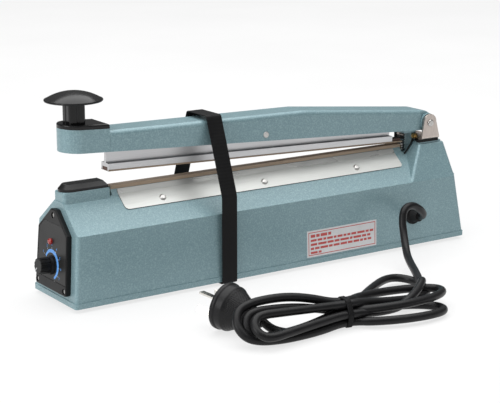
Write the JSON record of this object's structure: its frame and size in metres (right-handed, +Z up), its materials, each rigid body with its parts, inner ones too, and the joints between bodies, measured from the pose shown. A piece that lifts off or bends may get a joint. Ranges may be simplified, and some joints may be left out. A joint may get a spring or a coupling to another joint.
{
  "type": "impulse heat sealer",
  "caption": "Hand impulse heat sealer: painted base with control panel and mains lead, hinged arm with a round handle, and a rocking jaw that presses a bag on a heated ridge.",
  "frame": {"origin": "middle of the base's outline, on the surface that its rubber feet stand on", "axes": "+X runs along the base from the control panel to the hinge, +Z is up, the mains lead leaves on the -Y side"},
  "size_m": [0.4657, 0.2762, 0.1885],
  "materials": {
    "hammertone_paint": "satin",
    "panel_black": "matte",
    "dial_grey": "satin",
    "screw_steel": "satin",
    "lamp_red": "gloss",
    "knob_black": "satin",
    "housing_phenolic": "matte",
    "shaft_metal": "satin",
    "gloss_black": "gloss",
    "ptfe_tan": "satin",
    "clamp_polished": "polished",
    "insulation_white": "matte",
    "element_alloy": "satin",
    "terminal_brass": "satin",
    "bracket_nickel": "satin",
    "gasket_rubber": "matte",
    "lead_black": "satin",
    "spring_steel": "satin",
    "bush_bronze": "satin",
    "jaw_aluminium": "satin",
    "silicone_brown": "matte",
    "foot_rubber": "matte",
    "core_steel": "matte",
    "coil_copper": "satin",
    "board_green": "satin",
    "part_black": "satin",
    "label_white": "satin",
    "strap_black": "matte",
    "cord_black": "satin",
    "pin_nickel": "satin"
  },
  "bodies": {
    "base": {"base_housing": "hammertone_paint", "base_plate": "screw_steel", "base_plate_screws": "screw_steel", "board_capacitor": "part_black", "clamp_plate_far": "clamp_polished", "clamp_plate_near": "clamp_polished", "clamp_plate_screws": "screw_steel", "control_panel": "panel_black", "cord_grommet": "gasket_rubber", "cord_hank": "cord_black", "cord_lead": "cord_black", "cord_tie": "strap_black", "dial_plate": "dial_grey", "earth_lead": "lead_black", "earth_lug": "terminal_brass", "earth_screw": "terminal_brass", "front_terminal": "terminal_brass", "front_terminal_cover": "gloss_black", "heating_element": "element_alloy", "hinge_bracket": "bracket_nickel", "hinge_bracket_screws": "screw_steel", "hinge_gasket": "gasket_rubber", "hinge_pin": "screw_steel", "hinge_pin_clip": "screw_steel", "indicator_lamp": "lamp_red", "insulation_strip": "insulation_white", "microswitch_body": "part_black", "panel_screws": "screw_steel", "plug_body": "cord_black", "plug_pins": "pin_nickel", "potentiometer": "housing_phenolic", "ptfe_cloth": "ptfe_tan", "rear_terminal": "terminal_brass", "return_spring": "spring_steel", "rubber_feet": "foot_rubber", "side_label": "label_white", "spring_guide_pin": "screw_steel", "terminal_block": "part_black", "timer_board": "board_green", "timer_relay": "part_black", "transformer_bracket": "screw_steel", "transformer_coil": "coil_copper", "transformer_core": "core_steel", "transport_strap": "strap_black"},
    "arm": {"arm_casting": "hammertone_paint", "handle_base": "gloss_black", "handle_stem": "gloss_black", "handle_cap": "gloss_black", "handle_bolt": "screw_steel", "hinge_bushes": "bush_bronze", "spring_seat": "hammertone_paint", "jaw_pin": "screw_steel"},
    "jaw": {"jaw_extrusion": "jaw_aluminium", "silicone_strip": "silicone_brown", "jaw_tape": "ptfe_tan"},
    "knob": {"timer_knob": "knob_black", "potentiometer_shaft": "shaft_metal"},
    "plunger": {"switch_plunger": "part_black"}
  },
  "joints": [
    {"name": "arm_hinge", "type": "hinge", "parent": "base", "child": "arm", "pos_m": [0.193, 0, 0.1215], "axis": [0, 1, 0], "range_deg": [-1.75, 16], "stiffness_Nm_per_rad": 24, "springref_deg": 4.72, "deforming": ["return_spring", "transport_strap"]},
    {"name": "jaw_rock", "type": "hinge", "parent": "arm", "child": "jaw", "pos_m": [-0.0075, 0, 0.1307], "axis": [0, 1, 0], "range_deg": [-0.12, 0.4]},
    {"name": "timer_knob", "type": "hinge", "parent": "base", "child": "knob", "pos_m": [-0.22232, 0, 0.03493], "axis": [0.9975, 0, -0.071], "range_deg": [0, 270]},
    {"name": "switch_plunger", "type": "slide", "parent": "base", "child": "plunger", "axis": [0, 0, 1], "range_m": [-0.0015, 0], "stiffness_N_per_m": 300, "springref_m": 0.0005}
  ]
}
